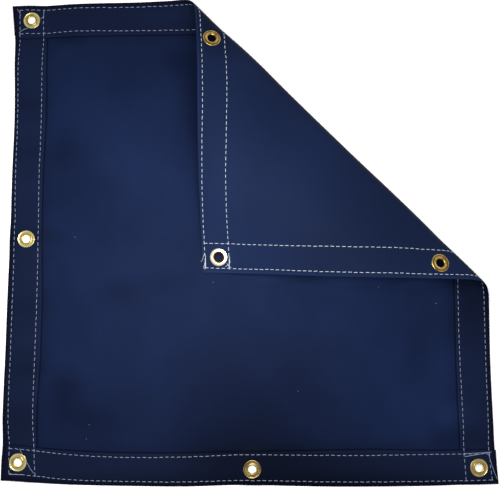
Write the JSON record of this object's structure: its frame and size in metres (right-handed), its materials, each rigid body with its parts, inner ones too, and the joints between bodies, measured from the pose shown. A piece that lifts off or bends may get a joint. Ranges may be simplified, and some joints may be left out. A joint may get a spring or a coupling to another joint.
{
  "type": "tarp",
  "caption": "Square tarp of coated cloth lying flat with one corner folded over, hemmed all round and fitted with brass eyelets for tying down.",
  "frame": {"origin": "middle of the tarp's bounding box seen from above, on the surface it lies on", "axes": "+Z up off the surface, +X to the right and +Y up in the picture; the folded corner is at +X +Y"},
  "size_m": [0.7716, 0.781, 0.0604],
  "materials": {
    "cloth": "matt coated navy cloth",
    "brass": "plain pressed brass"
  },
  "bodies": {
    "root": {"panel": "cloth", "hem_top": "cloth", "hem_bottom": "cloth", "hem_left": "cloth", "hem_right": "cloth", "eyelet_top_left": "brass", "washer_top_left": "brass", "eyelet_top_middle": "brass", "washer_top_middle": "brass", "eyelet_corner": "brass", "washer_corner": "brass", "eyelet_left_middle": "brass", "washer_left_middle": "brass", "eyelet_right_middle": "brass", "washer_right_middle": "brass", "eyelet_bottom_left": "brass", "washer_bottom_left": "brass", "eyelet_bottom_middle": "brass", "washer_bottom_middle": "brass", "eyelet_bottom_right": "brass", "washer_bottom_right": "brass"}
  },
  "joints": []
}
